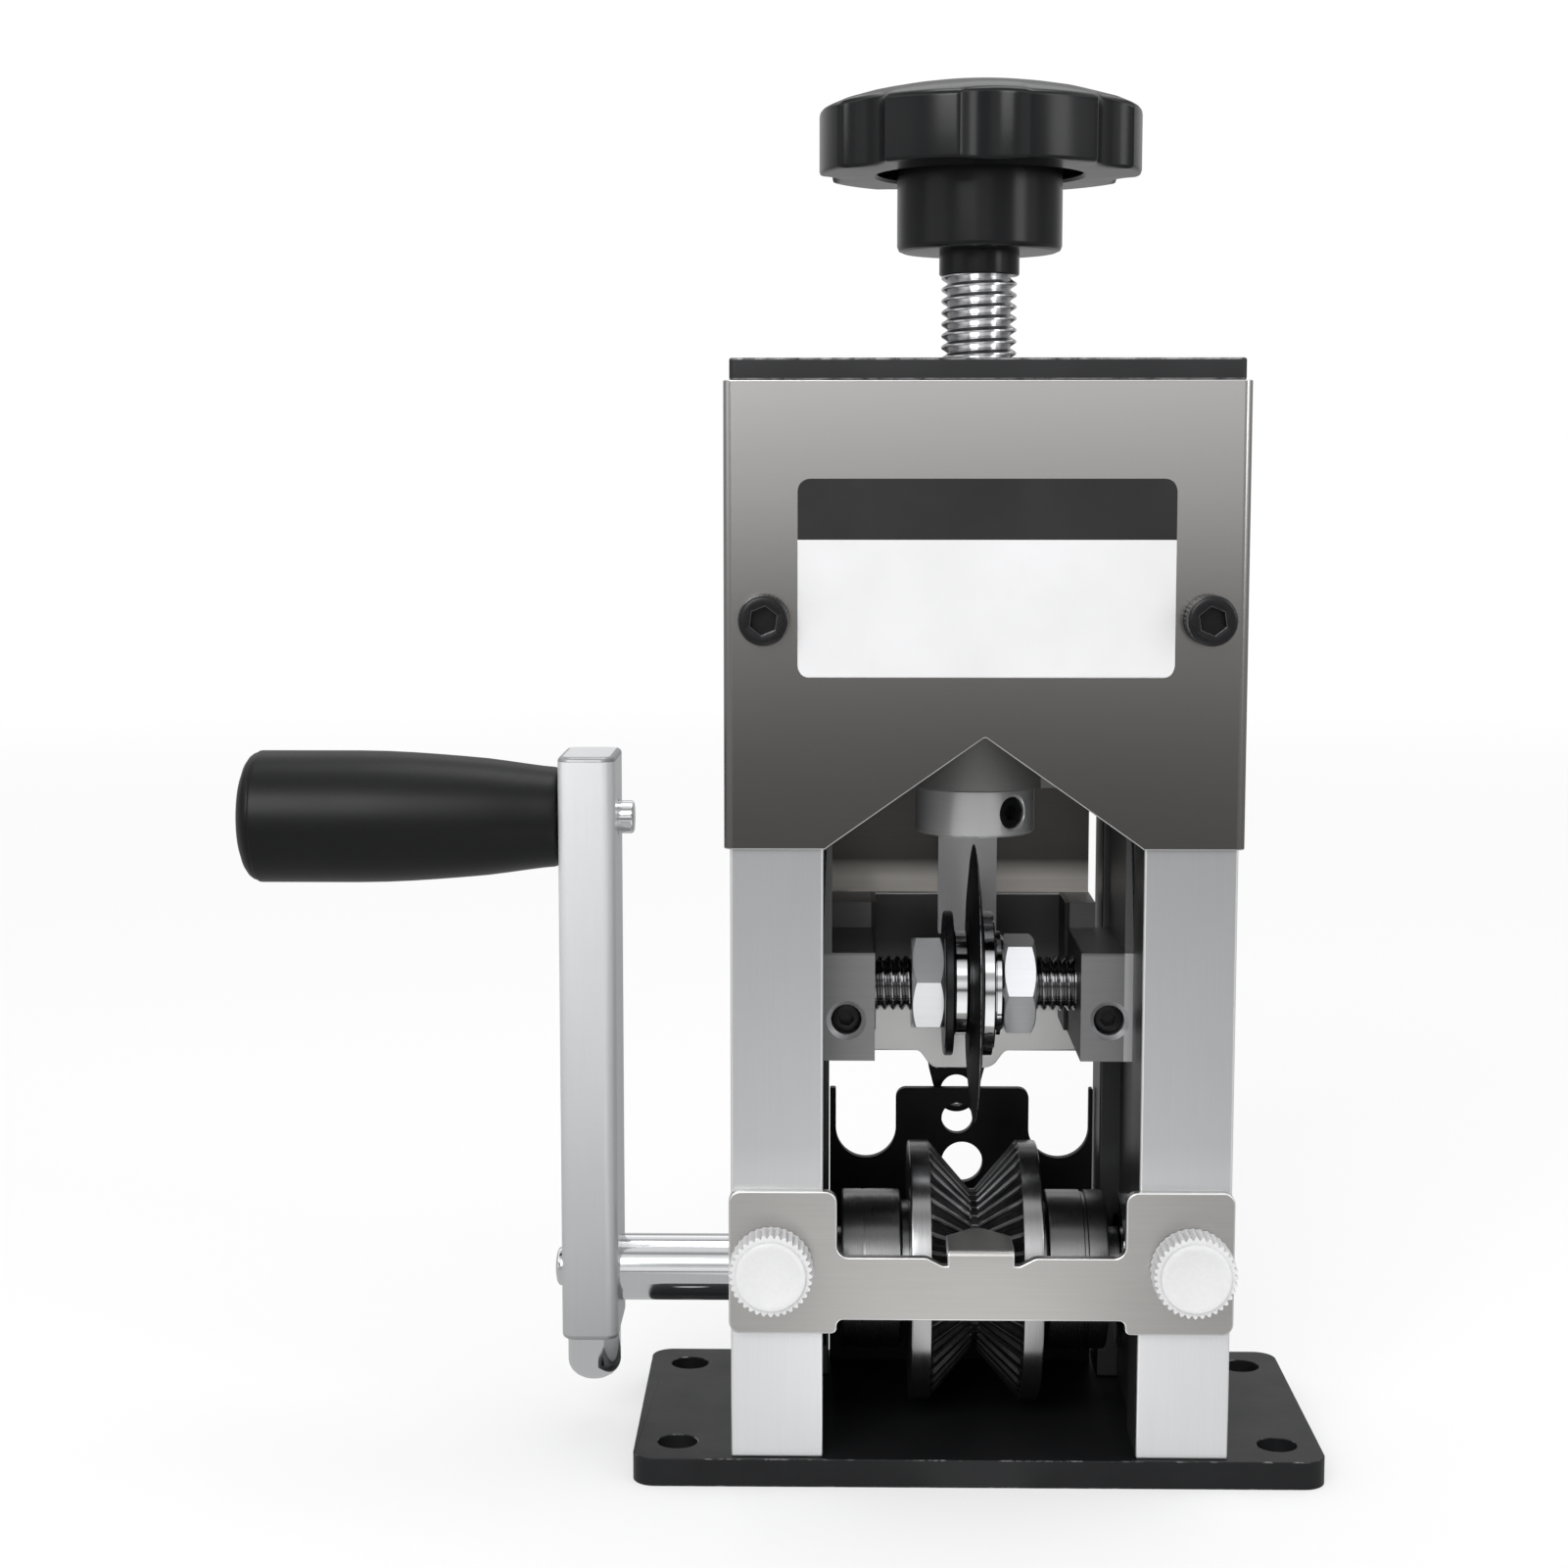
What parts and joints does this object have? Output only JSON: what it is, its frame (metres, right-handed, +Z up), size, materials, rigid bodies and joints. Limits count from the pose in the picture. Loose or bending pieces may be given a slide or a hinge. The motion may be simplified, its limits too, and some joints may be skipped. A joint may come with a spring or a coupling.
{
  "type": "hand crank wire stripper",
  "caption": "Bench wire stripper: a crank turns a grooved feed roller under a round blade whose carriage a star knob raises and lowers between two uprights.",
  "frame": {"origin": "centre of the base's underside", "axes": "+X to the right as the front is seen, +Y to the back, +Z up along the adjusting screw"},
  "size_m": [0.1918, 0.0687, 0.2413],
  "materials": {
    "black_steel": "satin black coat",
    "alloy": "satin anodised",
    "plate_alloy": "fine brushed",
    "carriage_steel": "fine milled",
    "cover_steel": "satin stainless sheet",
    "label": "blank plate with a dark band",
    "roller_steel": "hardened, polished rims",
    "bright_steel": "polished",
    "screw_steel": "zinc plated",
    "screw_black": "black oxide",
    "blade_black": "black oxide, ground",
    "grip_plastic": "satin moulding",
    "knob_plastic": "semi-gloss moulding",
    "thumb_white": "knurled"
  },
  "bodies": {
    "frame": {"base_plate": "black_steel", "left_upright": "alloy", "right_upright": "alloy", "top_plate": "black_steel", "lead_nut": "screw_steel", "front_cover": "cover_steel", "label_plate": "label", "rear_cover": "cover_steel", "rear_guide_plate": "black_steel", "base_screw_left": "screw_black", "base_screw_right": "screw_black", "top_screw_left": "screw_black", "top_screw_right": "screw_black", "cover_screw_left": "screw_black", "cover_screw_right": "screw_black", "rear_cover_screw_left": "screw_black", "rear_cover_screw_right": "screw_black", "rear_guide_screw_left": "screw_black", "rear_guide_screw_right": "screw_black", "bearing_outer_left": "bright_steel", "bearing_outer_right": "bright_steel"},
    "crank": {"drive_shaft": "bright_steel", "feed_roller": "roller_steel", "roller_key": "screw_steel", "crank_arm": "bright_steel", "end_button": "bright_steel", "clamp_screw": "bright_steel", "grip_axle": "bright_steel", "sleeve_left": "roller_steel", "sleeve_right": "roller_steel", "bearing_inner_left": "bright_steel", "bearing_inner_right": "bright_steel"},
    "grip": {"grip": "grip_plastic"},
    "guide": {"guide_plate": "plate_alloy"},
    "thumb_left": {"thumb_screw_left": "thumb_white"},
    "thumb_right": {"thumb_screw_right": "thumb_white"},
    "carriage": {"cross_head": "carriage_steel", "presser_strip": "carriage_steel", "carriage_plate": "carriage_steel", "wire_shoe": "black_steel", "blade_rod": "screw_steel", "washer_left": "blade_black", "washer_right": "blade_black", "ring_left": "bright_steel", "ring_right": "bright_steel", "blade_bush": "bright_steel", "carriage_side_left": "carriage_steel", "carriage_side_right": "carriage_steel", "jaw_screw_left": "screw_black", "jaw_screw_right": "screw_black", "carriage_plate_screw_left": "screw_black", "carriage_plate_screw_right": "screw_black", "rod_nut_left": "bright_steel", "rod_nut_right": "bright_steel"},
    "blade": {"cutter_blade": "blade_black"},
    "screw": {"adjusting_screw": "bright_steel", "star_knob": "knob_plastic", "collar": "carriage_steel", "collar_screw": "screw_black"}
  },
  "joints": [
    {"name": "carriage_slide", "type": "slide", "parent": "frame", "child": "carriage", "axis": [0, 0, 1], "range_m": [-0.01, 0.014]},
    {"name": "screw_turn", "type": "hinge", "parent": "carriage", "child": "screw", "pos_m": [0, 0, 0.2], "axis": [0, 0, 1], "range_deg": [-1800, 2520]},
    {"name": "crank_spin", "type": "hinge", "parent": "frame", "child": "crank", "pos_m": [0, 0, 0.0302], "axis": [1, 0, 0], "continuous": true},
    {"name": "grip_spin", "type": "hinge", "parent": "crank", "child": "grip", "pos_m": [-0.1, 0, 0.1129], "axis": [1, 0, 0], "continuous": true},
    {"name": "blade_spin", "type": "hinge", "parent": "carriage", "child": "blade", "pos_m": [0, 0, 0.0829], "axis": [1, 0, 0], "continuous": true},
    {"name": "guide_slide", "type": "slide", "parent": "frame", "child": "guide", "axis": [0, 0, 1], "range_m": [-0.002, 0.002]},
    {"name": "thumb_left_turn", "type": "hinge", "parent": "frame", "child": "thumb_left", "pos_m": [-0.0358, -0.034, 0.0394], "axis": [0, -1, 0], "range_deg": [0, 360]},
    {"name": "thumb_right_turn", "type": "hinge", "parent": "frame", "child": "thumb_right", "pos_m": [0.0358, -0.034, 0.0394], "axis": [0, -1, 0], "range_deg": [0, 360]}
  ],
  "couplings": [
    {"joint": "screw_turn", "follows": "carriage_slide", "rad_per_m": 3141.6}
  ]
}
